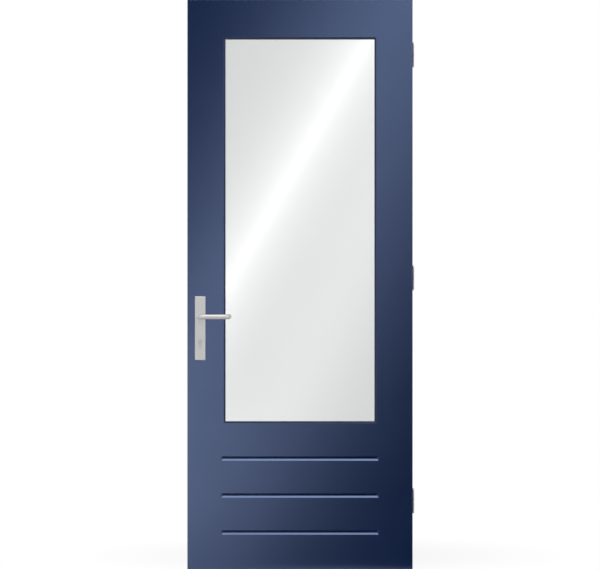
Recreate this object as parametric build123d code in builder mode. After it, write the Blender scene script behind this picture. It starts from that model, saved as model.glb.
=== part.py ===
"""Insulated back door: a flush sandwich leaf with one tall pane, on three butt hinges.

Millimetres, +Z up. The outside face looks towards -Y, the room is on the +Y side, and the
hinges are on the +X side. The origin lies on the back of the bottom hinge's jamb plate, at
the middle of the leaf's thickness and of the hinge's height. The leaf is drawn closed.
"""

import os

from build123d import *

# Leaf: two facing boards on a timber frame, with a foam core below the glass.
leaf_width = 830.0
leaf_height = 2100.0
leaf_thickness = 54.0
skin_thickness = 9.0
arris_radius = 1.5

# Glass: the margins that the leaf keeps round the part that shows.
view_side_margin = 140.0
view_top_margin = 145.0
view_sill = 545.0
pane_thickness = 4.0
cavity_width = 16.0
edge_cover = 14.0
edge_clearance = 5.0
spacer_width = 6.5
spacer_inset = 3.5
block_length = 80.0
block_end_distance = 100.0

# Gaskets: the outside one shows as a dark line between the facing board and the glass.
gasket_thickness = 3.0
gasket_lip = 5.0
gasket_recess = 2.5
gasket_lip_radius = 1.5
opening_corner_radius = 3.0
opening_edge_radius = 1.2

# Glazing beads: four mitred strips on the room side.
bead_setback = 2.0
bead_bevel_width = 7.0
bead_bevel_depth = 4.0

# Timber frame: heights of the bottom rail and of the rail under the glass.
bottom_rail_height = 110.0
cross_rail_height = 90.0

# Three grooves across the lower panel divide it into equal bands. Their upper slope is
# the steeper one, and their ends slope as steeply.
groove_count = 3
groove_overrun = 14.5
groove_width = 16.0
groove_depth = 6.0
groove_steep_run = 6.0
groove_floor_width = 1.0

# Butt hinges: 89 mm plates with five knuckles on a fixed pin.
hinge_height = 89.0
hinge_plate_width = 38.0
hinge_plate_thickness = 3.0
hinge_corner_radius = 9.5
hinge_closing_gap = 3.0
bed_play = 0.3
knuckle_radius = 6.5
knuckle_face_gap = 0.5
knuckle_count = 5
knuckle_play = 0.4
pin_radius = 4.0
pin_play = 0.05
pin_head_height = 2.5
pin_head_radius = 6.0
pin_head_chamfer = 1.0
bottom_hinge_height = 250.0
top_hinge_drop = 200.0
hinge_screw_radius = 2.75
hinge_countersink_radius = 4.8
outer_screw_spacing = 64.0
inner_screw_spacing = 22.0
outer_screw_inset = 8.0
inner_screw_inset = 27.0
screw_sink_angle = 90.0

# Handle set: a long plate on each side and one spindle through the lock.
lever_height = 931.0
backset = 47.5
cylinder_drop = 92.0
plate_width = 38.0
plate_height = 234.0
plate_above_lever = 75.0
plate_thickness = 9.0
plate_edge_radius = 1.0
bearing_ring_radius = 12.5
bearing_ring_height = 1.5
lever_radius = 9.0
lever_play = 0.3
lever_bearing_depth = 5.0
lever_projection = 45.0
lever_length = 113.0
lever_bend_radius = 14.0
lever_tip_clearance = 18.0
lever_tip_chamfer = 1.5
spindle_side = 8.0
spindle_length = 102.0
spindle_play = 0.1
socket_play = 0.5
spindle_hole_radius = 11.0
follower_radius = 10.0
follower_play = 0.3

# Three screws hold the inside plate to the outside one, through the leaf.
plate_screw_radius = 2.6
plate_screw_head_radius = 4.8
plate_screw_end_distance = 13.0
plate_screw_drop = 46.0

# Key cylinder: the round-topped profile that both plates and the lock are cut for.
cylinder_radius = 8.5
cylinder_tail_width = 10.0
cylinder_total_height = 33.0
cylinder_proud = 1.5
cylinder_play = 0.3
plug_radius = 6.6
plug_length = 28.0
plug_proud = 0.5
plug_play = 0.1
keyway_width = 2.4
keyway_height = 8.5
keyway_depth = 22.0

# Multi-point lock in the lock stile, with a long forend on the edge.
forend_width = 24.0
forend_foot_height = 190.0
forend_head_drop = 140.0
forend_thickness = 3.0
forend_screw_radius = 2.1
forend_screw_head_radius = 3.9
forend_screw_end_distance = 12.0
forend_screw_case_gap = 14.0
cylinder_screw_radius = 2.6
cylinder_screw_head_radius = 4.6
cylinder_screw_drop = 11.0
lock_play = 0.3
lock_case_thickness = 16.0
lock_case_depth = 81.0
lock_case_above_lever = 75.0
lock_case_below_cylinder = 55.0
latch_above_lever = 36.0
latch_height = 32.0
latch_thickness = 12.0
latch_sunk = 0.5
latch_slope = 11.5
latch_nose = 3.0
latch_tail = 24.0
bolt_above_cylinder = 34.0
bolt_height = 30.0
bolt_thickness = 10.0
bolt_tail = 26.0
bolt_sunk = 0.5
hook_end_distance = 160.0
hook_radius = 22.0
hook_throat_radius = 6.0
hook_throat_height = 11.0
hook_thickness = 8.0
hook_sunk = 1.0
hook_case_height = 110.0
hook_case_depth = 62.0

# Places that follow from the sizes above.
hinge_edge_x = -hinge_plate_thickness - hinge_closing_gap
lock_edge_x = hinge_edge_x - leaf_width
leaf_middle_x = (hinge_edge_x + lock_edge_x) / 2
outside_y = -leaf_thickness / 2
inside_y = leaf_thickness / 2
frame_y = inside_y - skin_thickness
foot_z = -bottom_hinge_height
head_z = foot_z + leaf_height
view_width = leaf_width - 2 * view_side_margin
view_height = leaf_height - view_sill - view_top_margin
groove_length = view_width + 2 * groove_overrun
sill_z = foot_z + view_sill
view_middle_z = sill_z + view_height / 2
pin_x = (-hinge_plate_thickness + hinge_edge_x) / 2
pin_y = inside_y + knuckle_face_gap + knuckle_radius
top_hinge_z = leaf_height - top_hinge_drop - bottom_hinge_height
hinge_heights = {"bottom": 0.0, "middle": top_hinge_z / 2, "top": top_hinge_z}
knuckle_pitch = hinge_height / knuckle_count
lever_x = lock_edge_x + backset
lever_z = foot_z + lever_height
cylinder_z = lever_z - cylinder_drop
plate_middle_z = lever_z + plate_above_lever - plate_height / 2
glazing_clear = edge_cover + edge_clearance
stile_width = (leaf_width - view_width) / 2 - glazing_clear
rail_length = leaf_width - 2 * stile_width
glazing_foot_z = sill_z - glazing_clear
glazing_head_z = sill_z + view_height + glazing_clear
pane_width = view_width + 2 * edge_cover
pane_height = view_height + 2 * edge_cover
outer_pane_y = -frame_y + gasket_thickness
inner_pane_y = outer_pane_y + pane_thickness + cavity_width
bead_back_y = inner_pane_y + pane_thickness + gasket_thickness
forend_foot_z = foot_z + forend_foot_height
forend_head_z = head_z - forend_head_drop
latch_z = lever_z + latch_above_lever
bolt_z = cylinder_z + bolt_above_cylinder
hook_heights = {
    "lower": forend_foot_z + hook_end_distance,
    "upper": forend_head_z - hook_end_distance,
}
lock_case_x = lock_edge_x + forend_thickness
lock_case_foot_z = cylinder_z - lock_case_below_cylinder
lock_case_head_z = lever_z + lock_case_above_lever
plate_face_y = inside_y + plate_thickness
tail_length = cylinder_total_height - cylinder_radius - cylinder_tail_width / 2

os.makedirs("parts", exist_ok=True)


def save(part, label):
    """Label a finished piece and write it to its own file."""
    part.label = label
    export_step(part, f"parts/{label}.step")


def upright(y):
    """The plane at depth y with its local x along X and its local y along Z."""
    return Plane.XZ.offset(-y)


def rectangle_at(x, z, width, height):
    """Draw a rectangle about a point of the leaf, in an upright sketch."""
    with Locations((x, z)):
        Rectangle(width, height)


def block(x_from, x_to, y_from, y_to, z_from, z_to, mode=Mode.ADD):
    """Add or cut a squared block of timber, foam or metal, given by its six faces."""
    with BuildSketch(upright(y_to)) as outline:
        rectangle_at((x_from + x_to) / 2, (z_from + z_to) / 2, x_to - x_from, z_to - z_from)
    extrude(outline.sketch, amount=y_to - y_from, mode=mode)


def key_profile(play=0.0):
    """Draw the key cylinder's outline at its place, in an upright sketch."""
    with Locations((lever_x, cylinder_z)):
        Circle(cylinder_radius + play)
    rectangle_at(lever_x, cylinder_z - tail_length / 2, cylinder_tail_width + 2 * play, tail_length)
    with Locations((lever_x, cylinder_z - tail_length)):
        Circle(cylinder_tail_width / 2 + play)


def cut_handle_openings(y_from, y_to):
    """Cut the spindle hole and the cylinder hole through what lies between two depths."""
    with BuildSketch(upright(y_to)) as outline:
        with Locations((lever_x, lever_z)):
            Circle(spindle_hole_radius)
        key_profile(cylinder_play)
    extrude(outline.sketch, amount=y_to - y_from, mode=Mode.SUBTRACT)


def cut_hinge_beds():
    """Cut the three beds for the leaf-side hinge plates, open towards the room."""
    for height in hinge_heights.values():
        with BuildSketch(Plane.YZ.offset(hinge_edge_x - hinge_plate_thickness)) as bed:
            hinge_plate_outline(height, bed_play)
        extrude(bed.sketch, amount=hinge_plate_thickness, mode=Mode.SUBTRACT)


def hinge_plate_outline(height, play=0.0):
    """Draw one hinge plate with its two corners on the outside rounded."""
    with BuildSketch(mode=Mode.PRIVATE) as outline:
        with Locations((inside_y - (hinge_plate_width + play) / 2, height)):
            Rectangle(hinge_plate_width + play, hinge_height + 2 * play)
        fillet(outline.vertices().group_by(Axis.X)[0], hinge_corner_radius + play)
    add(outline.sketch)


def screw_holes(face, points, radius, head_radius):
    """Sink holes for countersunk screws into a plate, from the plane of its visible face."""
    with Locations(face):
        with Locations(*points):
            CounterSinkHole(radius, head_radius, counter_sink_angle=screw_sink_angle)


# The outside facing board, with the glass opening and the three grooves.
with BuildPart() as outer_skin:
    block(lock_edge_x, hinge_edge_x, outside_y, -frame_y, foot_z, head_z)
    fillet(outer_skin.faces().sort_by(Axis.Y)[0].edges(), arris_radius)
    with BuildSketch(upright(-frame_y)):
        with Locations((leaf_middle_x, view_middle_z)):
            RectangleRounded(
                view_width + 2 * gasket_lip, view_height + 2 * gasket_lip, opening_corner_radius
            )
    extrude(amount=skin_thickness, mode=Mode.SUBTRACT)
    fillet(outer_skin.faces().sort_by(Axis.Y)[0].inner_wires().edges(), opening_edge_radius)
    groove_floor_rise = (groove_width - groove_floor_width) / 2 - groove_steep_run
    groove_floor_length = groove_length - 2 * groove_steep_run
    for band in range(1, groove_count + 1):
        band_z = foot_z + view_sill * band / (groove_count + 1)
        with BuildSketch(upright(outside_y)) as groove_mouth:
            rectangle_at(leaf_middle_x, band_z, groove_length, groove_width)
        with BuildSketch(upright(outside_y + groove_depth)) as groove_floor:
            rectangle_at(
                leaf_middle_x, band_z + groove_floor_rise, groove_floor_length, groove_floor_width
            )
        loft([groove_mouth.sketch, groove_floor.sketch], ruled=True, mode=Mode.SUBTRACT)
    cut_handle_openings(outside_y, -frame_y)
save(outer_skin.part, "outer_skin")

# The inside facing board, open as far as the glazing rebate.
with BuildPart() as inner_skin:
    block(lock_edge_x, hinge_edge_x, frame_y, inside_y, foot_z, head_z)
    fillet(inner_skin.faces().sort_by(Axis.Y)[-1].edges(), arris_radius)
    block(
        leaf_middle_x - rail_length / 2, leaf_middle_x + rail_length / 2,
        frame_y, inside_y, glazing_foot_z, glazing_head_z, mode=Mode.SUBTRACT,
    )
    cut_handle_openings(frame_y, inside_y)
    cut_hinge_beds()
save(inner_skin.part, "inner_skin")

# Lock stile, with the groove for the forend and the mortises for the three lock cases.
with BuildPart() as lock_stile:
    block(lock_edge_x, lock_edge_x + stile_width, -frame_y, frame_y, foot_z, head_z)
    block(
        lock_edge_x, lock_case_x, -forend_width / 2, forend_width / 2,
        forend_foot_z, forend_head_z, mode=Mode.SUBTRACT,
    )
    block(
        lock_case_x, lock_case_x + lock_case_depth, -lock_case_thickness / 2,
        lock_case_thickness / 2, lock_case_foot_z, lock_case_head_z, mode=Mode.SUBTRACT,
    )
    for hook_z in hook_heights.values():
        block(
            lock_case_x, lock_case_x + hook_case_depth, -lock_case_thickness / 2,
            lock_case_thickness / 2, hook_z - hook_case_height / 2,
            hook_z + hook_case_height / 2, mode=Mode.SUBTRACT,
        )
    cut_handle_openings(-frame_y, frame_y)
save(lock_stile.part, "lock_stile")

# Hinge stile, with beds for the three hinge plates.
with BuildPart() as hinge_stile:
    block(hinge_edge_x - stile_width, hinge_edge_x, -frame_y, frame_y, foot_z, head_z)
    cut_hinge_beds()
save(hinge_stile.part, "hinge_stile")


def rail(label, z_from, z_to):
    """Build one rail between the two stiles."""
    with BuildPart() as member:
        block(
            leaf_middle_x - rail_length / 2, leaf_middle_x + rail_length / 2,
            -frame_y, frame_y, z_from, z_to,
        )
    save(member.part, label)


# Rails, and the foam that fills the lower panel between them.
rail("bottom_rail", foot_z, foot_z + bottom_rail_height)
rail("foam_core", foot_z + bottom_rail_height, glazing_foot_z - cross_rail_height)
rail("cross_rail", glazing_foot_z - cross_rail_height, glazing_foot_z)
rail("top_rail", glazing_head_z, head_z)


def ring(label, y_from, y_to, outer_margin, inner_margin, corner_radius=0.0):
    """Build a frame round the glass, its margins measured out from what shows of the pane."""
    with BuildPart() as frame:
        with BuildSketch(upright(y_to)):
            with Locations((leaf_middle_x, view_middle_z)):
                Rectangle(view_width + 2 * outer_margin, view_height + 2 * outer_margin)
                Rectangle(
                    view_width + 2 * inner_margin, view_height + 2 * inner_margin,
                    mode=Mode.SUBTRACT,
                )
        extrude(amount=y_to - y_from)
    save(frame.part, label)


def pane(label, y_from):
    """Build one sheet of the sealed unit."""
    with BuildPart() as sheet:
        with BuildSketch(upright(y_from + pane_thickness)):
            rectangle_at(leaf_middle_x, view_middle_z, pane_width, pane_height)
        extrude(amount=pane_thickness)
    save(sheet.part, label)


# Sealed double-glazing unit: two panes, a spacer between them and a seal round the edge.
pane("outer_pane", outer_pane_y)
pane("inner_pane", inner_pane_y)
cavity_y = outer_pane_y + pane_thickness
ring("edge_seal", cavity_y, inner_pane_y, edge_cover, edge_cover - spacer_inset)
ring(
    "spacer_frame", cavity_y, inner_pane_y, edge_cover - spacer_inset,
    edge_cover - spacer_inset - spacer_width,
)

# Outside gasket: a flange behind the facing board and a lip that shows round the glass.
with BuildPart() as outer_gasket:
    with BuildSketch(upright(outer_pane_y)):
        with Locations((leaf_middle_x, view_middle_z)):
            Rectangle(pane_width, pane_height)
            Rectangle(view_width, view_height, mode=Mode.SUBTRACT)
    extrude(amount=gasket_thickness)
    with BuildSketch(upright(-frame_y)):
        with Locations((leaf_middle_x, view_middle_z)):
            RectangleRounded(
                view_width + 2 * gasket_lip, view_height + 2 * gasket_lip, opening_corner_radius
            )
            Rectangle(view_width, view_height, mode=Mode.SUBTRACT)
    extrude(amount=skin_thickness - gasket_recess)
    lip_face = outer_gasket.faces().sort_by(Axis.Y)[0]
    fillet(lip_face.inner_wires().edges(), gasket_lip_radius)
save(outer_gasket.part, "outer_gasket")

# Inside gasket: a flat strip between the glass and the beads.
ring("inner_gasket", inner_pane_y + pane_thickness, bead_back_y, edge_cover, 0.0)


# Two blocks that carry the sealed unit on the cross rail.
with BuildPart() as setting_blocks:
    with BuildSketch(upright(inner_pane_y + pane_thickness)):
        for side in (-1, 1):
            block_x = leaf_middle_x + side * (pane_width / 2 - block_end_distance)
            rectangle_at(block_x, glazing_foot_z + edge_clearance / 2, block_length, edge_clearance)
    extrude(amount=inner_pane_y + pane_thickness - outer_pane_y)
save(setting_blocks.part, "setting_blocks")


def glazing_bead(label, side, outer_corners, inner_corners):
    """Build one mitred bead with a bevel towards the glass. Corners are in order along it."""
    with BuildPart() as bead:
        with BuildSketch(upright(inside_y)):
            with BuildLine():
                Polyline(*outer_corners, *reversed(inner_corners), close=True)
            make_face()
        extrude(amount=inside_y - bead_back_y)
        front_edges = bead.faces().sort_by(Axis.Y)[-1].edges()
        glass_edge = front_edges.sort_by_distance(side)[0]
        chamfer(
            glass_edge, bead_bevel_depth, bead_bevel_width,
            reference=bead.faces().filter_by(Axis.Y, reverse=True).sort_by_distance(side)[0],
        )
    save(bead.part, label)


# Glazing beads in the rebate of the inside face, mitred at the four corners.
rebate_left = leaf_middle_x - rail_length / 2
rebate_right = leaf_middle_x + rail_length / 2
bead_left = leaf_middle_x - view_width / 2 - bead_setback
bead_right = leaf_middle_x + view_width / 2 + bead_setback
bead_foot_z = sill_z - bead_setback
bead_head_z = sill_z + view_height + bead_setback
rebate_corners = [
    (rebate_left, glazing_foot_z),
    (rebate_right, glazing_foot_z),
    (rebate_right, glazing_head_z),
    (rebate_left, glazing_head_z),
]
bead_corners = [
    (bead_left, bead_foot_z),
    (bead_right, bead_foot_z),
    (bead_right, bead_head_z),
    (bead_left, bead_head_z),
]
for place, name in enumerate(("bottom_bead", "right_bead", "top_bead", "left_bead")):
    follower = (place + 1) % len(bead_corners)
    start = bead_corners[place]
    end = bead_corners[follower]
    middle = ((start[0] + end[0]) / 2, inside_y, (start[1] + end[1]) / 2)
    glazing_bead(
        name, middle,
        (rebate_corners[place], rebate_corners[follower]),
        (start, end),
    )

# Long forend on the lock edge, with slots for the latch, the bolt and the two hooks.
with BuildPart() as lock_forend:
    with BuildSketch(Plane.YZ.offset(lock_edge_x)):
        with Locations((0, (forend_foot_z + forend_head_z) / 2)):
            Rectangle(forend_width, forend_head_z - forend_foot_z)
        with Locations((0, latch_z)):
            Rectangle(latch_thickness + 2 * lock_play, latch_height + 2 * lock_play, mode=Mode.SUBTRACT)
        with Locations((0, bolt_z)):
            Rectangle(bolt_thickness + 2 * lock_play, bolt_height + 2 * lock_play, mode=Mode.SUBTRACT)
        with Locations(*[(0, hook_z) for hook_z in hook_heights.values()]):
            Rectangle(hook_thickness + 2 * lock_play, 2 * hook_radius, mode=Mode.SUBTRACT)
    extrude(amount=forend_thickness)
    hook_screw_distance = hook_case_height / 2 + forend_screw_case_gap
    forend_screws = [
        (0, forend_foot_z + forend_screw_end_distance),
        (0, forend_head_z - forend_screw_end_distance),
        (0, lock_case_foot_z - forend_screw_case_gap),
        (0, lock_case_head_z + forend_screw_case_gap),
    ]
    for hook_z in hook_heights.values():
        forend_screws.append((0, hook_z - hook_screw_distance))
        forend_screws.append((0, hook_z + hook_screw_distance))
    edge_face = Plane((lock_edge_x, 0, 0), x_dir=(0, -1, 0), z_dir=(-1, 0, 0))
    screw_holes(edge_face, forend_screws, forend_screw_radius, forend_screw_head_radius)
    cylinder_screw = [(0, cylinder_z - cylinder_screw_drop)]
    screw_holes(edge_face, cylinder_screw, cylinder_screw_radius, cylinder_screw_head_radius)
save(lock_forend.part, "lock_forend")

# Main lock case, with pockets for the latch and the bolt and a bore for the follower.
with BuildPart() as lock_case:
    block(
        lock_case_x, lock_case_x + lock_case_depth, -lock_case_thickness / 2,
        lock_case_thickness / 2, lock_case_foot_z, lock_case_head_z,
    )
    block(
        lock_case_x, lock_case_x + latch_tail, -latch_thickness / 2 - lock_play,
        latch_thickness / 2 + lock_play, latch_z - latch_height / 2 - lock_play,
        latch_z + latch_height / 2 + lock_play, mode=Mode.SUBTRACT,
    )
    block(
        lock_case_x, lock_case_x + bolt_tail, -bolt_thickness / 2 - lock_play,
        bolt_thickness / 2 + lock_play, bolt_z - bolt_height / 2 - lock_play,
        bolt_z + bolt_height / 2 + lock_play, mode=Mode.SUBTRACT,
    )
    with BuildSketch(upright(lock_case_thickness / 2)):
        with Locations((lever_x, lever_z)):
            Circle(follower_radius + follower_play)
        key_profile(cylinder_play)
    extrude(amount=lock_case_thickness, mode=Mode.SUBTRACT)
save(lock_case.part, "lock_case")

# Spring latch, drawn back as on the plain edge, sloped where it would meet the strike plate.
with BuildPart() as latch_bolt:
    latch_tip_x = lock_edge_x + latch_sunk
    with BuildSketch(Plane.XY.offset(latch_z - latch_height / 2)):
        with BuildLine():
            Polyline(
                (latch_tip_x, latch_thickness / 2),
                (lock_case_x + latch_tail, latch_thickness / 2),
                (lock_case_x + latch_tail, -latch_thickness / 2),
                (latch_tip_x + latch_slope, -latch_thickness / 2),
                (latch_tip_x, latch_thickness / 2 - latch_nose),
                close=True,
            )
        make_face()
    extrude(amount=latch_height)
save(latch_bolt.part, "latch_bolt")

# Dead bolt, drawn back just behind the face of the forend.
with BuildPart() as dead_bolt:
    block(
        lock_edge_x + bolt_sunk, lock_case_x + bolt_tail, -bolt_thickness / 2,
        bolt_thickness / 2, bolt_z - bolt_height / 2, bolt_z + bolt_height / 2,
    )
save(dead_bolt.part, "dead_bolt")

# Two hook bolts in their own cases, turned back inside the forend.
for name, hook_z in hook_heights.items():
    hook_pivot_x = lock_edge_x + hook_sunk + hook_radius
    with BuildPart() as hook_case:
        block(
            lock_case_x, lock_case_x + hook_case_depth, -lock_case_thickness / 2,
            lock_case_thickness / 2, hook_z - hook_case_height / 2, hook_z + hook_case_height / 2,
        )
        block(
            lock_case_x, hook_pivot_x + hook_radius + lock_play, -hook_thickness / 2 - lock_play,
            hook_thickness / 2 + lock_play, hook_z - hook_radius - lock_play,
            hook_z + hook_radius + lock_play, mode=Mode.SUBTRACT,
        )
    save(hook_case.part, f"{name}_hook_case")
    with BuildPart() as hook:
        with BuildSketch(upright(hook_thickness / 2)):
            with Locations((hook_pivot_x, hook_z)):
                Circle(hook_radius)
            with Locations((hook_pivot_x - hook_radius, hook_z + hook_throat_height)):
                Circle(hook_throat_radius, mode=Mode.SUBTRACT)
        extrude(amount=hook_thickness)
    save(hook.part, f"{name}_hook")

# Key cylinder through the leaf, bored at each end for its plug.
with BuildPart() as key_cylinder:
    with BuildSketch(upright(plate_face_y + cylinder_proud)):
        key_profile()
    extrude(amount=2 * (plate_face_y + cylinder_proud))
    for face_y, reach in (
        (plate_face_y + cylinder_proud, plug_length),
        (-plate_face_y - cylinder_proud, -plug_length),
    ):
        with BuildSketch(upright(face_y)):
            with Locations((lever_x, cylinder_z)):
                Circle(plug_radius + plug_play)
        extrude(amount=reach, mode=Mode.SUBTRACT)
save(key_cylinder.part, "key_cylinder")

# Plugs with their keyways, one for each side of the leaf.
for name, direction in (("outside_plug", -1), ("inside_plug", 1)):
    plug_face_y = direction * (plate_face_y + cylinder_proud + plug_proud)
    with BuildPart() as plug:
        with BuildSketch(upright(plug_face_y)):
            with Locations((lever_x, cylinder_z)):
                Circle(plug_radius)
        extrude(amount=direction * (plug_length + plug_proud))
        with BuildSketch(upright(plug_face_y)):
            rectangle_at(lever_x, cylinder_z, keyway_width, keyway_height)
        extrude(amount=direction * keyway_depth, mode=Mode.SUBTRACT)
    save(plug.part, name)


def handle_side(label, direction):
    """Build one plate and its lever. Direction is -1 outside and +1 in the room."""
    face_y = direction * inside_y
    front_y = direction * plate_face_y
    with BuildPart() as plate:
        with BuildSketch(upright(front_y)):
            rectangle_at(lever_x, plate_middle_z, plate_width, plate_height)
        extrude(amount=direction * plate_thickness)
        front = plate.faces().sort_by(Axis.Y)[-1 if direction > 0 else 0]
        fillet(front.edges(), plate_edge_radius)
        with BuildSketch(upright(front_y)):
            with Locations((lever_x, lever_z)):
                Circle(bearing_ring_radius)
        extrude(amount=-direction * bearing_ring_height)
        with BuildSketch(upright(face_y)):
            with Locations((lever_x, lever_z)):
                Circle(lever_radius + lever_play)
            key_profile(cylinder_play)
        extrude(amount=-direction * (plate_thickness + bearing_ring_height), mode=Mode.SUBTRACT)
        if direction > 0:
            plate_foot_z = plate_middle_z - plate_height / 2
            plate_screws = [
                (-lever_x, plate_foot_z + plate_height - plate_screw_end_distance),
                (-lever_x, lever_z - plate_screw_drop),
                (-lever_x, plate_foot_z + plate_screw_end_distance),
            ]
            room_face = Plane((0, front_y, 0), x_dir=(-1, 0, 0), z_dir=(0, 1, 0))
            screw_holes(room_face, plate_screws, plate_screw_radius, plate_screw_head_radius)
    save(plate.part, f"{label}_handle_plate")

    neck_y = face_y + direction * lever_bearing_depth
    bar_y = front_y + direction * lever_projection
    tip_y = face_y + direction * lever_tip_clearance
    return_x = lever_x + lever_length - lever_radius
    with BuildPart() as lever:
        with BuildLine():
            FilletPolyline(
                (lever_x, neck_y, lever_z),
                (lever_x, bar_y, lever_z),
                (return_x, bar_y, lever_z),
                (return_x, tip_y, lever_z),
                radius=lever_bend_radius,
            )
        with BuildSketch(upright(neck_y)):
            with Locations((lever_x, lever_z)):
                Circle(lever_radius)
        sweep()
        with BuildSketch(upright(neck_y)):
            with Locations((lever_x, lever_z)):
                Rectangle(spindle_side + 2 * spindle_play, spindle_side + 2 * spindle_play)
        socket_depth = spindle_length / 2 + socket_play - abs(neck_y)
        extrude(amount=-direction * socket_depth, mode=Mode.SUBTRACT)
        tip_edges = lever.edges().sort_by_distance((return_x + lever_radius, tip_y, lever_z))[0]
        chamfer(tip_edges, lever_tip_chamfer)
    save(lever.part, f"{label}_lever")


# Handle set on both faces, with one spindle and the lock's follower between the levers.
handle_side("outside", -1)
handle_side("inside", 1)

with BuildPart() as spindle:
    with BuildSketch(upright(spindle_length / 2)):
        rectangle_at(lever_x, lever_z, spindle_side, spindle_side)
    extrude(amount=spindle_length)
save(spindle.part, "spindle")

with BuildPart() as lock_follower:
    with BuildSketch(upright(lock_case_thickness / 2)):
        with Locations((lever_x, lever_z)):
            Circle(follower_radius)
            Rectangle(
                spindle_side + 2 * spindle_play, spindle_side + 2 * spindle_play,
                mode=Mode.SUBTRACT,
            )
    extrude(amount=lock_case_thickness)
save(lock_follower.part, "lock_follower")


def hinge_leaf(label, height, plate_x, knuckles, facing):
    """Build one plate with its own knuckles. Facing is -1 on the jamb and +1 on the leaf."""
    with BuildPart() as leaf:
        with BuildSketch(Plane.YZ.offset(plate_x)):
            hinge_plate_outline(height)
        extrude(amount=hinge_plate_thickness)
        for knuckle in knuckles:
            knuckle_z = height - hinge_height / 2 + (knuckle + 0.5) * knuckle_pitch
            knuckle_length = knuckle_pitch - knuckle_play
            with BuildSketch(Plane.XY.offset(knuckle_z - knuckle_length / 2)):
                with Locations((pin_x, pin_y)):
                    Circle(knuckle_radius)
                with Locations((plate_x + hinge_plate_thickness / 2, (inside_y + pin_y) / 2)):
                    Rectangle(hinge_plate_thickness, pin_y - inside_y)
                with Locations((pin_x, pin_y)):
                    Circle(pin_radius + pin_play, mode=Mode.SUBTRACT)
            extrude(amount=knuckle_length)
        screw_points = [
            (facing * (hinge_far_y + inset), height + side * spacing / 2)
            for spacing, inset in screw_pairs
            for side in (-1, 1)
        ]
        gap_face = Plane(
            (plate_x + (facing + 1) / 2 * hinge_plate_thickness, 0, 0),
            x_dir=(0, facing, 0), z_dir=(facing, 0, 0),
        )
        screw_holes(gap_face, screw_points, hinge_screw_radius, hinge_countersink_radius)
    save(leaf.part, label)


# Hinges: the jamb plate carries the odd knuckles and the pin, the leaf plate the even ones.
hinge_far_y = inside_y - hinge_plate_width
screw_pairs = ((outer_screw_spacing, outer_screw_inset), (inner_screw_spacing, inner_screw_inset))
for name, height in hinge_heights.items():
    hinge_leaf(f"{name}_hinge_jamb_plate", height, -hinge_plate_thickness, (0, 2, 4), -1)
    hinge_leaf(f"{name}_hinge_leaf_plate", height, hinge_edge_x - hinge_plate_thickness, (1, 3), 1)
    with BuildPart() as hinge_pin:
        with BuildSketch(Plane.XY.offset(height - hinge_height / 2)):
            with Locations((pin_x, pin_y)):
                Circle(pin_radius)
        extrude(amount=hinge_height)
        with BuildSketch(Plane.XY.offset(height + hinge_height / 2)):
            with Locations((pin_x, pin_y)):
                Circle(pin_head_radius)
        extrude(amount=pin_head_height)
        with BuildSketch(Plane.XY.offset(height - hinge_height / 2 - pin_head_height)):
            with Locations((pin_x, pin_y)):
                Circle(pin_head_radius)
        extrude(amount=pin_head_height)
        head_edges = hinge_pin.edges().filter_by(GeomType.CIRCLE).sort_by(Axis.Z)
        chamfer([head_edges[0], head_edges[-1]], pin_head_chamfer)
    save(hinge_pin.part, f"{name}_hinge_pin")
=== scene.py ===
import math

import bpy
from mathutils import Matrix, Vector


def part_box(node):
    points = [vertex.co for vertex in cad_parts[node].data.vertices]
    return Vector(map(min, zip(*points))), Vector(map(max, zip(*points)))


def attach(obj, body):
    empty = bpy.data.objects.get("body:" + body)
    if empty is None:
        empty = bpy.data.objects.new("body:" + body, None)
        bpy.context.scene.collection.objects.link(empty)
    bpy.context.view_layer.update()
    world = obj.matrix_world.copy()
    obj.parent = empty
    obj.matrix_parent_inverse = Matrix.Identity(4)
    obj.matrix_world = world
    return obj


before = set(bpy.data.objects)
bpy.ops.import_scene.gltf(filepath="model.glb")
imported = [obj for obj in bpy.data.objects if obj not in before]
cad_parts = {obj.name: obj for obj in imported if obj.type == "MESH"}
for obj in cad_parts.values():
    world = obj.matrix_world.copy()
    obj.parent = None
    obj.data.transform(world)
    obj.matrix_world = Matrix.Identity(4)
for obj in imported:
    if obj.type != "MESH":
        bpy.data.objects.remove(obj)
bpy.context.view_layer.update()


# Studio: white surroundings with a pale floor disc, a long lens straight in front of the
# leaf, and soft lamps. One slanting softbox far behind the camera gives the satin paint
# and the glass their diagonal band of light.
class Wire:
    """A node's output, on which operators and the named methods add Math nodes."""

    def __init__(self, nodes, socket):
        self.nodes = nodes
        self.socket = socket

    def math(self, operation, first, second=0.0):
        return self.nodes.add(
            "ShaderNodeMath", {"operation": operation}, {0: first, 1: second}
        )

    def __add__(self, other):
        return self.math("ADD", self, other)

    def __radd__(self, other):
        return self.math("ADD", other, self)

    def __sub__(self, other):
        return self.math("SUBTRACT", self, other)

    def __rsub__(self, other):
        return self.math("SUBTRACT", other, self)

    def __mul__(self, other):
        return self.math("MULTIPLY", self, other)

    def __rmul__(self, other):
        return self.math("MULTIPLY", other, self)

    def __truediv__(self, other):
        return self.math("DIVIDE", self, other)

    def __pow__(self, other):
        return self.math("POWER", self, other)

    def __rpow__(self, other):
        return self.math("POWER", other, self)

    def at_least(self, other):
        return self.math("MAXIMUM", self, other)

    def at_most(self, other):
        return self.math("MINIMUM", self, other)

    def absolute(self):
        return self.math("ABSOLUTE", self)


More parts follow.
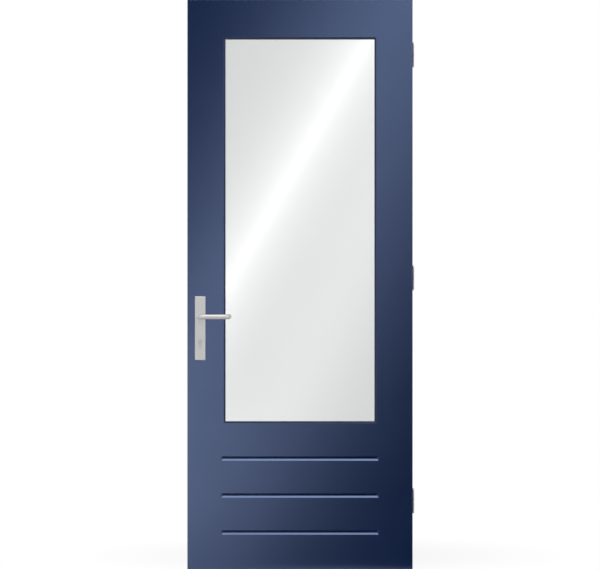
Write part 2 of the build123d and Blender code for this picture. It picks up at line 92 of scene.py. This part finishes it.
class Nodes:
    """The node tree of one finish, or of the studio's surroundings."""

    def __init__(self, tree):
        self.tree = tree
        tree.nodes.clear()

    def add(self, kind, settings=None, sockets=None, output=0):
        node = self.tree.nodes.new(kind)
        for name, value in (settings or {}).items():
            if name == "stops":
                self.set_stops(node.color_ramp, value)
            else:
                setattr(node, name, value)
        for name, value in (sockets or {}).items():
            if isinstance(value, Wire):
                self.tree.links.new(value.socket, node.inputs[name])
            else:
                node.inputs[name].default_value = value
        return Wire(self, node.outputs[output]) if len(node.outputs) else None

    def set_stops(self, ramp, stops):
        while len(ramp.elements) < len(stops):
            ramp.elements.new(0.5)
        for element, (position, value) in zip(ramp.elements, stops):
            element.position = position
            element.color = (value, value, value, 1.0)

    def blend(self, share, first, second):
        """One colour running into another, by a share from 0 to 1."""
        return self.add(
            "ShaderNodeMix", {"data_type": "RGBA"}, {0: share, 6: first, 7: second}, 2
        )

    def place(self, stretch=(1.0, 1.0, 1.0)):
        """Object coordinates, stretched along the piece's grain or brushing."""
        spot = self.add("ShaderNodeTexCoord", output="Object")
        return self.add("ShaderNodeMapping", sockets={"Vector": spot, "Scale": stretch})

    def noise(self, spot, scale, detail=2.0, roughness=0.5):
        sockets = {"Vector": spot, "Scale": scale, "Detail": detail, "Roughness": roughness}
        return self.add("ShaderNodeTexNoise", sockets=sockets)

    def ramp(self, share, *stops):
        return self.add("ShaderNodeValToRGB", {"stops": stops}, {"Fac": share})

    def bump(self, height, strength, distance):
        sockets = {"Height": height, "Strength": strength, "Distance": distance}
        return self.add("ShaderNodeBump", sockets=sockets)

    def surface(self, sockets):
        """A Principled surface that ends the tree."""
        self.end(self.add("ShaderNodeBsdfPrincipled", sockets=sockets))

    def end(self, shader):
        kind = "ShaderNodeOutputMaterial"
        if self.tree.id_data.name == "Surroundings":
            kind = "ShaderNodeOutputWorld"
        self.add(kind, sockets={"Surface": shader})


def new_finish(name):
    """A material with an empty tree, and the nodes that fill it."""
    material = bpy.data.materials.new(name)
    material.use_nodes = True
    return material, Nodes(material.node_tree)


skin_low, skin_high = (Vector(corner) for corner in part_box("outer_skin"))
leaf_middle = (skin_low + skin_high) / 2
picture_width = 600
leaf_height_in_picture = 570.0
metres_per_pixel = (skin_high.z - skin_low.z) / leaf_height_in_picture
camera_distance = 12.0

camera_data = bpy.data.cameras.new("front_view")
camera = bpy.data.objects.new("front_view", camera_data)
bpy.context.scene.collection.objects.link(camera)
camera.location = (leaf_middle.x, skin_low.y - camera_distance, leaf_middle.z)
camera.rotation_euler = (math.radians(90), 0, 0)
camera_data.lens = (
    camera_data.sensor_width * camera_distance / (picture_width * metres_per_pixel)
)
camera_data.clip_end = 100.0
bpy.context.scene.camera = camera
bpy.context.scene.view_settings.view_transform = "Standard"

# The world is white for the camera and through glass. Mirrors see white walls round a
# dark curtain in front of the leaf, and scattered light is dimmer.
white = (1, 1, 1, 1)
world = bpy.data.worlds.new("Surroundings")
world.use_nodes = True
bpy.context.scene.world = world
sky = Nodes(world.node_tree)
direct = sky.add("ShaderNodeLightPath", output="Is Camera Ray")
through = sky.add("ShaderNodeLightPath", output="Is Transmission Ray")
glossy = sky.add("ShaderNodeLightPath", output="Is Glossy Ray")
bounces = sky.add("ShaderNodeLightPath", output="Glossy Depth")
bounced = bounces.at_most(1.0)
compass = sky.add("ShaderNodeTexCoord", output="Generated")
sideways = sky.add("ShaderNodeSeparateXYZ", sockets={"Vector": compass}, output="X")
depth = sky.add("ShaderNodeSeparateXYZ", sockets={"Vector": compass}, output="Y")
upwards = sky.add("ShaderNodeSeparateXYZ", sockets={"Vector": compass}, output="Z")
room_level = 0.34
white_walls = 0.75
dark_curtain = 0.03
curtain_width = 0.30
curtain_height = 0.45
curtain_edge = ((0.40, 0.0), (0.60, 1.0))
off_axis = ((sideways / curtain_width) ** 2.0 + (upwards / curtain_height) ** 2.0) ** 0.5
outside_curtain = sky.ramp(off_axis * 0.5, *curtain_edge)
behind_leaf = sky.ramp(depth, (0.0, 0.0), (0.1, 1.0))
walls = outside_curtain.at_least(behind_leaf)
seen = direct + through * (1.0 - bounced)
in_mirror = glossy.at_least(through * bounced)
mirrored = in_mirror * (walls * (white_walls - dark_curtain) + dark_curtain)
scattered = (1.0 - in_mirror) * room_level
level = seen.at_least(mirrored + scattered).at_most(1.0)
sky.end(sky.add("ShaderNodeBackground", sockets={"Color": white, "Strength": level}))

# The floor disc keeps the soft shadow, and its rim fades into the white. In mirrors its
# glow is darkened towards the leaf, a painted shade for the shadow at the leaf's foot.
floor_gap = 0.010
floor_to_the_right = 0.1
floor_to_the_back = 0.75
floor_middle = (
    leaf_middle.x + floor_to_the_right, floor_to_the_back, skin_low.z - floor_gap
)
floor_reach = (2.2, 1.35)
rim_fade = ((0.35, 0.84), (0.97, 1.0))
# painted shade: how much the glow seen in mirrors is darkened, near the leaf and at the rim
painted_mirror_shade = ((0.55, 0.60), (0.97, 0.25))
bpy.ops.object.select_all(action="DESELECT")
bpy.ops.mesh.primitive_circle_add(
    vertices=96, radius=1, fill_type="NGON", location=floor_middle,
    scale=(floor_reach[0], floor_reach[1], 1),
)
floor = bpy.context.object
floor.name = "studio_floor"
floor_finish, nodes = new_finish("pale floor")
spot = nodes.add("ShaderNodeTexCoord", output="Object")
rim = nodes.add("ShaderNodeVectorMath", {"operation": "LENGTH"}, {0: spot}, output="Value")
clouds = nodes.noise(spot, scale=1.6, detail=3.0)
pale = nodes.blend(clouds, (0.86, 0.86, 0.86, 1), (0.90, 0.90, 0.90, 1))
matte = nodes.add("ShaderNodeBsdfDiffuse", sockets={"Color": pale})
direct = nodes.add("ShaderNodeLightPath", output="Is Camera Ray")
glossy = nodes.add("ShaderNodeLightPath", output="Is Glossy Ray")
through = nodes.add("ShaderNodeLightPath", output="Is Transmission Ray")
reflected = (glossy - through).at_least(0.0)
# Painted shade: the glow that mirrors see is darkened towards the leaf, for its shadow.
mirror_glow_with_painted_shade = 1.0 - reflected * nodes.ramp(rim, *painted_mirror_shade)
glow = nodes.add("ShaderNodeEmission", sockets={"Color": white, "Strength": mirror_glow_with_painted_shade})
seen = (direct + glossy + through).at_most(1.0)
whiteness = nodes.ramp(rim, *rim_fade)
nodes.end(nodes.add("ShaderNodeMixShader", sockets={0: seen * whiteness, 1: matte, 2: glow}))
floor.data.materials.append(floor_finish)


def soft_lamp(name, place, aim, width, height, radiance):
    """An area lamp of a given brightness per area, pointed at a spot."""
    lamp = bpy.data.lights.new(name, "AREA")
    lamp.shape = "RECTANGLE"
    lamp.size = width
    lamp.size_y = height
    lamp.energy = radiance * math.pi * width * height
    holder = bpy.data.objects.new(name, lamp)
    bpy.context.scene.collection.objects.link(holder)
    holder.location = place
    holder.rotation_euler = (Vector(aim) - Vector(place)).to_track_quat("-Z", "Y").to_euler()
    holder.visible_camera = False
    holder.visible_transmission = False


soft_lamp(
    "overhead", place=(leaf_middle.x, -1.3, 4.3), aim=(leaf_middle.x, -0.9, 0),
    width=3.2, height=2.2, radiance=3.2,
)
for side in (-1, 1):
    soft_lamp(
        f"side_fill_{side}", place=(leaf_middle.x + side * 5.2, -4.6, 1.6),
        aim=leaf_middle, width=2.4, height=3.2, radiance=2.2,
    )
soft_lamp(
    "room_fill", place=(leaf_middle.x + 3.2, 5.5, 2.4), aim=leaf_middle,
    width=3.0, height=3.0, radiance=2.4,
)

# The slanting softbox shows in mirrors only. It has a narrow bright core that leans a
# little more, a wide weak skirt beside it, and a soft patch near its lower end.
bpy.ops.object.select_all(action="DESELECT")
bpy.ops.mesh.primitive_plane_add(size=1)
band = bpy.context.object
band.name = "slanting_softbox"
band_distance = 13.5
band_tilt = math.radians(26.3)
band_width = 5.0
band_length = 9.0
band_offset = -0.413
core_peak = 3.7
core_half_width = 0.282
core_lean = math.tan(math.radians(3.5))
core_pivot_along = 1.28
skirt_peak = 1.06
skirt_half_width = 0.38
skirt_offset = 0.741
patch_peak = 1.5
patch_middle = (0.35, -1.75)
patch_reach = (0.38, 0.50)
band.data.transform(Matrix.Diagonal((band_width, band_length, 1.0, 1.0)))
band.matrix_world = (
    Matrix.Translation((leaf_middle.x, skin_low.y - band_distance, leaf_middle.z))
    @ Matrix.Rotation(band_tilt, 4, "Y")
    @ Matrix.Rotation(math.radians(90), 4, "X")
    @ Matrix.Translation((band_offset, 0, 0))
)
band_finish, nodes = new_finish("slanting softbox")
spot = nodes.add("ShaderNodeTexCoord", output="Object")
across = nodes.add("ShaderNodeSeparateXYZ", sockets={"Vector": spot}, output="X")
along = nodes.add("ShaderNodeSeparateXYZ", sockets={"Vector": spot}, output="Y")
leaning = across - (along - core_pivot_along) * core_lean
core = leaning.absolute() / core_half_width
skirt = ((across - skirt_offset) / skirt_half_width) ** 2.0
patch_across = ((across - patch_middle[0]) / patch_reach[0]) ** 2.0
patch_along = ((along - patch_middle[1]) / patch_reach[1]) ** 2.0
patch = math.e ** ((patch_across + patch_along) * -1.0) * patch_peak
falloff = math.e ** (core * -1.0) * core_peak + math.e ** (skirt * -1.0) * skirt_peak + patch
lit = nodes.add("ShaderNodeEmission", sockets={"Color": white, "Strength": falloff})
unseen = nodes.add("ShaderNodeBsdfTransparent")
bounces = nodes.add("ShaderNodeLightPath", output="Glossy Depth")
bounced = bounces.at_most(1.0)
nodes.end(nodes.add("ShaderNodeMixShader", sockets={0: bounced, 1: unseen, 2: lit}))
band_finish.cycles.emission_sampling = "NONE"
band.data.materials.append(band_finish)
band.visible_camera = False
band.visible_shadow = False


# Timber frame: two stiles and three rails of laminated softwood, jointed and glued. Only
# their edges show, painted with the leaf, with the grain just standing through the coat.
def dress(finish, *names):
    """Give CAD pieces their finish."""
    for name in names:
        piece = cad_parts[name]
        if not piece.material_slots:
            piece.data.materials.append(finish)
        for place in piece.material_slots:
            place.material = finish


navy = (0.0010, 0.0118, 0.056, 1.0)
navy_worn = (0.0016, 0.0142, 0.064, 1.0)
paint_gloss = {
    "IOR": 1.63,
    "Specular IOR Level": 1.0,
    "Specular Tint": (0.465, 0.605, 1.0, 1.0),
}


def painted_timber(name, grain):
    """Satin paint over planed timber, its grain running along the given stretch."""
    finish, nodes = new_finish(name)
    lines = nodes.noise(nodes.place(grain), scale=90.0, detail=4.0, roughness=0.6)
    cloud = nodes.noise(nodes.place(), scale=6.0)
    nodes.surface(paint_gloss | {
        "Base Color": nodes.blend(cloud, navy, navy_worn),
        "Roughness": lines * 0.08 + 0.14,
        "Normal": nodes.bump(lines, strength=0.25, distance=0.0004),
    })
    return finish


grain_up = (1.0, 1.0, 0.03)
grain_across = (0.03, 1.0, 1.0)
dress(painted_timber("painted stile", grain_up), "lock_stile", "hinge_stile")
dress(painted_timber("painted rail", grain_across), "bottom_rail", "cross_rail", "top_rail")


# Insulation: a slab of rigid yellow foam that fills the lower panel between the rails.
# It is cut from a foamed block, so its faces show open cells.
foam_finish, nodes = new_finish("rigid foam")
cells = nodes.add(
    "ShaderNodeTexVoronoi", sockets={"Vector": nodes.place(), "Scale": 900.0}
)
nodes.surface({
    "Base Color": nodes.blend(cells * 1.6, (0.50, 0.40, 0.19, 1), (0.74, 0.64, 0.40, 1)),
    "Roughness": 0.9,
    "Normal": nodes.bump(cells, strength=0.6, distance=0.0006),
})
dress(foam_finish, "foam_core")


# Facing boards: smooth moisture-proof boards, glued over the frame and sprayed a satin
# navy in the factory. The outer one has three V-grooves cut across its lower panel.
def sprayed_board(name):
    """Factory-sprayed satin paint with a very fine orange peel."""
    finish, nodes = new_finish(name)
    spot = nodes.place()
    peel = nodes.noise(spot, scale=420.0)
    cloud = nodes.noise(spot, scale=3.5, detail=3.0)
    dots = nodes.noise(spot, scale=1500.0, detail=1.0)
    fleck = nodes.ramp(dots, (0.70, 0.0), (0.78, 1.0))
    nodes.surface(paint_gloss | {
        "Base Color": nodes.blend(cloud * 0.8 + fleck * 0.2, navy, navy_worn),
        "Roughness": cloud * 0.04 + 0.13,
        "Normal": nodes.bump(peel, strength=0.04, distance=0.0003),
    })
    return finish


dress(sprayed_board("satin navy outside"), "outer_skin")
dress(sprayed_board("satin navy inside"), "inner_skin")


# Sealed glass unit: two sheets of float glass held apart by an aluminium spacer with a
# row of fine slots, closed round the edge with black sealant, on two plastic blocks.
glass_finish, nodes = new_finish("float glass")
streak = nodes.noise(nodes.place((1.0, 1.0, 0.1)), scale=2.0)
glass = nodes.add("ShaderNodeBsdfPrincipled", sockets={
    "Base Color": (0.868, 0.872, 0.874, 1.0),
    "Transmission Weight": 1.0,
    "IOR": 1.45,
    "Roughness": streak * 0.01,
})
clear = nodes.add("ShaderNodeBsdfTransparent", sockets={"Color": (0.90, 0.91, 0.91, 1.0)})
shadow = nodes.add("ShaderNodeLightPath", output="Is Shadow Ray")
nodes.end(nodes.add("ShaderNodeMixShader", sockets={0: shadow, 1: glass, 2: clear}))
dress(glass_finish, "outer_pane", "inner_pane")

spacer_finish, nodes = new_finish("mill aluminium")
# The slots are coloured near black, a painted shade for the shadow inside the holes; the bump
# presses them in.
slots_with_painted_shade = nodes.ramp(
    nodes.add("ShaderNodeTexVoronoi", sockets={"Vector": nodes.place(), "Scale": 260.0}),
    (0.10, 1.0), (0.16, 0.0),
)
rolled = nodes.noise(nodes.place((0.1, 1.0, 0.1)), scale=500.0)
nodes.surface({
    "Base Color": nodes.blend(slots_with_painted_shade, (0.60, 0.61, 0.62, 1), (0.10, 0.10, 0.10, 1)),
    "Metallic": 1.0,
    "Roughness": rolled * 0.2 + 0.28,
    "Normal": nodes.bump(slots_with_painted_shade * -1.0 + rolled * 0.2, strength=0.5, distance=0.0004),
})
dress(spacer_finish, "spacer_frame")

block_finish, nodes = new_finish("moulded block")
sparkle = nodes.noise(nodes.place(), scale=900.0)
nodes.surface({
    "Base Color": nodes.blend(sparkle, (0.03, 0.10, 0.05, 1), (0.05, 0.14, 0.07, 1)),
    "Roughness": sparkle * 0.15 + 0.45,
    "Normal": nodes.bump(sparkle, strength=0.3, distance=0.0002),
})
dress(block_finish, "setting_blocks")


# Gaskets: extruded rubber strips, pressed between board and glass outside and between
# glass and beads inside. The outside lip is the dark line round the pane.
rubber_finish, nodes = new_finish("extruded rubber")
spot = nodes.place()
skin = nodes.noise(spot, scale=1100.0, detail=3.0)
bloom = nodes.noise(spot, scale=14.0)
nodes.surface({
    "Base Color": nodes.blend(bloom, (0.010, 0.030, 0.085, 1), (0.014, 0.036, 0.096, 1)),
    "Roughness": bloom * 0.12 + 0.50,
    "Normal": nodes.bump(skin, strength=0.35, distance=0.0002),
})
dress(rubber_finish, "edge_seal", "outer_gasket", "inner_gasket")


# Glazing beads: four mitred strips of painted timber on the room side, held by brads
# that are punched just below the paint and leave small round marks.
dress(painted_timber("painted upright bead", grain_up), "left_bead", "right_bead")
dress(painted_timber("painted level bead", grain_across), "top_bead", "bottom_bead")


def bare_primitive(add, **sizes):
    """Add a primitive with nothing else selected, and hand back its object."""
    bpy.ops.object.select_all(action="DESELECT")
    add(**sizes)
    return bpy.context.object


def select_faces(piece, wanted):
    """Select in edit mode the faces whose middle and normal are wanted."""
    bpy.ops.object.mode_set(mode="EDIT")
    bpy.ops.mesh.select_all(action="DESELECT")
    bpy.ops.object.mode_set(mode="OBJECT")
    for face in piece.data.polygons:
        face.select = wanted(face.center, face.normal)
    bpy.ops.object.mode_set(mode="EDIT")
    bpy.ops.mesh.select_mode(type="FACE")


def scatter(master, name, spots, facing):
    """Copies of a master that faces +Z at the origin, set on spots and joined."""
    turn = Vector(facing).to_track_quat("Z", "Y").to_matrix().to_4x4()
    copies = []
    for place in spots:
        mesh = master.data.copy()
        mesh.transform(Matrix.Translation(place) @ turn)
        copy = bpy.data.objects.new(name, mesh)
        bpy.context.scene.collection.objects.link(copy)
        copies.append(copy)
    bpy.ops.object.select_all(action="DESELECT")
    for copy in copies:
        copy.select_set(True)
    bpy.context.view_layer.objects.active = copies[0]
    bpy.ops.object.join()
    joined = bpy.context.object
    joined.name = name
    return joined


brad_radius = 0.0011
brad_rise = 0.00015
brad_rim = 0.35 * brad_radius
brad_dish = 0.8 * brad_rise
bead_edge_to_brad = 0.0054
brad = bare_primitive(
    bpy.ops.mesh.primitive_cylinder_add,
    vertices=20, radius=brad_radius, depth=2 * brad_rise, location=(0, 0, 0),
)
select_faces(brad, lambda middle, normal: normal.z > 0.9)
bpy.ops.mesh.inset(thickness=brad_rim)
bpy.ops.transform.translate(value=(0, 0, -brad_dish))
bpy.ops.object.mode_set(mode="OBJECT")


def brad_row(bead, count, along):
    """Evenly spaced spots along the flat of a bead."""
    low, high = (Vector(corner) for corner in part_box(bead))
    inward = bead_edge_to_brad
    spots = []
    for step in range(count):
        share = (step + 0.5) / count
        if along == "x":
            height = low.z + inward if bead == "bottom_bead" else high.z - inward
            spots.append((low.x + share * (high.x - low.x), high.y, height))
        else:
            side_x = low.x + inward if bead == "left_bead" else high.x - inward
            spots.append((side_x, high.y, low.z + share * (high.z - low.z)))
    return spots


brad_spots = (
    brad_row("bottom_bead", 3, "x") + brad_row("top_bead", 3, "x")
    + brad_row("left_bead", 6, "z") + brad_row("right_bead", 6, "z")
)
bead_brads = scatter(brad, "bead_brads", brad_spots, (0, 1, 0))
bead_brads.data.materials.clear()
no_grain = (1.0, 1.0, 1.0)
bead_brads.data.materials.append(painted_timber("painted brads", no_grain))
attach(bead_brads, "leaf")
bpy.data.objects.remove(brad)


# Lock: a long stainless forend let into the edge, the zinc-plated cases behind it, and
# the nickel-plated latch, dead bolt and hooks in its slots, all drawn back.
def brushed_steel(name, brushing, tone, roughness):
    """Stainless steel with long fine scratches, all brushed one way."""
    finish, nodes = new_finish(name)
    scratches = nodes.noise(nodes.place(brushing), scale=1400.0, detail=3.0, roughness=0.65)
    smear = nodes.noise(nodes.place(), scale=22.0)
    light = (tone * 1.05, tone * 1.045, tone * 1.03, 1.0)
    dark = (tone * 0.90, tone * 0.90, tone * 0.89, 1.0)
    nodes.surface({
        "Base Color": nodes.blend(scratches, dark, light),
        "Metallic": 1.0,
        "Roughness": scratches * 0.12 + smear * 0.06 + roughness,
        "Normal": nodes.bump(scratches, strength=0.12, distance=0.0001),
    })
    return finish


brushed_up = (1.0, 1.0, 0.012)
brushed_across = (0.012, 1.0, 1.0)
unbrushed = (1.0, 1.0, 1.0)
dress(brushed_steel("brushed forend", brushed_up, tone=0.56, roughness=0.27), "lock_forend")

zinc_finish, nodes = new_finish("zinc plating")
spangle = nodes.add(
    "ShaderNodeTexVoronoi", sockets={"Vector": nodes.place(), "Scale": 160.0}
)
nodes.surface({
    "Base Color": nodes.blend(spangle, (0.44, 0.45, 0.45, 1), (0.56, 0.55, 0.51, 1)),
    "Metallic": 1.0,
    "Roughness": spangle * 0.2 + 0.36,
    "Normal": nodes.bump(spangle, strength=0.15, distance=0.0002),
})
dress(zinc_finish, "lock_case", "upper_hook_case", "lower_hook_case", "spindle", "lock_follower")

nickel_finish, nodes = new_finish("satin nickel")
satin = nodes.noise(nodes.place(), scale=1600.0)
nodes.surface({
    "Base Color": nodes.blend(satin, (0.70, 0.695, 0.675, 1), (0.80, 0.795, 0.775, 1)),
    "Metallic": 1.0,
    "Roughness": satin * 0.12 + 0.28,
    "Normal": nodes.bump(satin, strength=0.08, distance=0.0001),
})
dress(
    nickel_finish, "latch_bolt", "dead_bolt", "upper_hook", "lower_hook",
    "key_cylinder", "outside_plug", "inside_plug",
)

screw_finish = brushed_steel("turned screw steel", unbrushed, tone=0.52, roughness=0.30)


def countersunk_screw(name, head_radius, shank_radius, length):
    """A countersunk screw with a cross recess, its head at the origin and facing +Z."""
    cone_depth = head_radius - shank_radius
    rim_width = 0.08 * head_radius
    crown_rise = 0.03 * head_radius
    recess_length = 1.15 * head_radius
    recess_width = 0.26 * head_radius
    recess_depth = 0.8 * cone_depth
    recess_floor = (0.35, 0.8, 1)
    screw = bare_primitive(
        bpy.ops.mesh.primitive_cylinder_add,
        vertices=40, radius=head_radius, depth=cone_depth, location=(0, 0, 0),
    )
    screw.name = name
    screw.data.transform(Matrix.Translation((0, 0, -cone_depth / 2)))
    select_faces(screw, lambda middle, normal: normal.z < -0.9)
    shrink = shank_radius / head_radius
    bpy.ops.transform.resize(value=(shrink, shrink, 1), center_override=(0, 0, 0))
    bpy.ops.mesh.extrude_region_move(
        TRANSFORM_OT_translate={"value": (0, 0, cone_depth - length)}
    )
    select_faces(screw, lambda middle, normal: normal.z > 0.9)
    bpy.ops.mesh.inset(thickness=rim_width)
    bpy.ops.transform.translate(value=(0, 0, crown_rise))
    bpy.ops.object.mode_set(mode="OBJECT")
    for turn in (0, 90):
        bar = bare_primitive(bpy.ops.mesh.primitive_cube_add, size=1, location=(0, 0, 0))
        bar.data.transform(
            Matrix.Diagonal((recess_length, recess_width, 2 * recess_depth, 1.0))
        )
        select_faces(bar, lambda middle, normal: normal.z < -0.9)
        bpy.ops.transform.resize(value=recess_floor, center_override=(0, 0, -recess_depth))
        bpy.ops.object.mode_set(mode="OBJECT")
        bar.data.transform(Matrix.Rotation(math.radians(turn), 4, "Z"))
        cut = screw.modifiers.new("recess", "BOOLEAN")
        cut.operation = "DIFFERENCE"
        cut.object = bar
        bpy.context.view_layer.objects.active = screw
        bpy.ops.object.modifier_apply(modifier=cut.name)
        bpy.data.objects.remove(bar)
    screw.data.materials.clear()
    screw.data.materials.append(screw_finish)
    return screw


sink = 0.00015
forend_face_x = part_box("lock_forend")[0][0]
forend_screw_heights = (-0.048, 0.031, 0.169, 0.520, 0.770, 1.481, 1.619, 1.698)
forend_screw_master = countersunk_screw(
    "forend_screw", head_radius=0.0037, shank_radius=0.0019, length=0.0029
)
forend_screws = scatter(
    forend_screw_master, "forend_screws",
    [(forend_face_x + sink, 0, height) for height in forend_screw_heights], (-1, 0, 0),
)
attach(forend_screws, "leaf")
bpy.data.objects.remove(forend_screw_master)

# One screw through the forend holds the key cylinder.
cylinder_screw_height = 0.578
cylinder_screw = countersunk_screw(
    "cylinder_screw", head_radius=0.0044, shank_radius=0.0024, length=0.0029
)
cylinder_screw.data.transform(
    Matrix.Translation((forend_face_x + sink, 0, cylinder_screw_height))
    @ Matrix.Rotation(math.radians(-90), 4, "Y")
)
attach(cylinder_screw, "leaf")


# Handle set: a long plate on each face with round-bar levers on one square spindle.
# Brushed stainless: the plates are brushed lengthwise, the levers along the bar.
dress(
    brushed_steel("brushed handle plate", brushed_up, tone=0.84, roughness=0.35),
    "outside_handle_plate", "inside_handle_plate",
)
dress(
    brushed_steel("brushed lever bar", brushed_across, tone=0.68, roughness=0.50),
    "outside_lever", "inside_lever",
)

plate_low, plate_high = (Vector(corner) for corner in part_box("inside_handle_plate"))
plate_middle_x = (plate_low.x + plate_high.x) / 2
plate_face_y = 0.036
plate_screw_heights = (0.743, 0.635, 0.535)
plate_screw_master = countersunk_screw(
    "plate_screw", head_radius=0.0046, shank_radius=0.0024, length=0.0085
)
plate_screws = scatter(
    plate_screw_master, "plate_screws",
    [(plate_middle_x, plate_face_y - sink, height) for height in plate_screw_heights],
    (0, 1, 0),
)
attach(plate_screws, "leaf")
bpy.data.objects.remove(plate_screw_master)

# The grub screw that clamps the inside lever to the spindle sits in the neck's underside.
grub_radius = 0.0024
grub_thickness = 0.0012
grub_rim = 0.4 * grub_radius
socket_depth = 0.0008
plate_to_grub = 0.012
lever_bottom_to_grub = 0.0004
grub = bare_primitive(
    bpy.ops.mesh.primitive_cylinder_add,
    vertices=6, radius=grub_radius, depth=grub_thickness, location=(0, 0, 0),
)
grub.name = "lever_grub_screw"
select_faces(grub, lambda middle, normal: normal.z > 0.9)
bpy.ops.mesh.inset(thickness=grub_rim)
bpy.ops.mesh.extrude_region_move(TRANSFORM_OT_translate={"value": (0, 0, -socket_depth)})
bpy.ops.object.mode_set(mode="OBJECT")
grub_y = plate_face_y + plate_to_grub
grub_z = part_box("inside_lever")[0][2] + lever_bottom_to_grub
grub.data.transform(
    Matrix.Translation((plate_middle_x, grub_y, grub_z)) @ Matrix.Rotation(math.pi, 4, "X")
)
grub.data.materials.append(screw_finish)
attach(grub, "lever")


# Hinges: three butt hinges of stamped stainless plate with rolled knuckles on a fixed
# pin. Four countersunk screws hold each leaf plate in its bed in the leaf's edge; the
# holes of the jamb plates stay open, for the screws of the frame that the door hangs in.
turned = (1.0, 1.0, 8.0)
hinge_finish = brushed_steel("brushed hinge plate", brushed_up, tone=0.74, roughness=0.40)
pin_finish = brushed_steel("turned hinge pin", turned, tone=0.74, roughness=0.30)
hinge_screw_master = countersunk_screw(
    "hinge_screw", head_radius=0.0046, shank_radius=0.0025, length=0.0028
)
leaf_face_x = -0.006
# from the plate's free edge, and up or down from its middle
hole_pairs = ((0.008, 0.032), (0.027, 0.011))
for hinge in ("bottom", "middle", "top"):
    jamb_plate = f"{hinge}_hinge_jamb_plate"
    leaf_plate = f"{hinge}_hinge_leaf_plate"
    dress(hinge_finish, jamb_plate, leaf_plate)
    dress(pin_finish, f"{hinge}_hinge_pin")
    low, high = (Vector(corner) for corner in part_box(jamb_plate))
    middle_z = (low.z + high.z) / 2
    hole_spots = [
        (leaf_face_x - sink, low.y + inset, middle_z + side * spread)
        for inset, spread in hole_pairs
        for side in (-1, 1)
    ]
    leaf_screws = scatter(hinge_screw_master, f"{hinge}_leaf_screws", hole_spots, (1, 0, 0))
    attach(leaf_screws, "leaf")
bpy.data.objects.remove(hinge_screw_master)
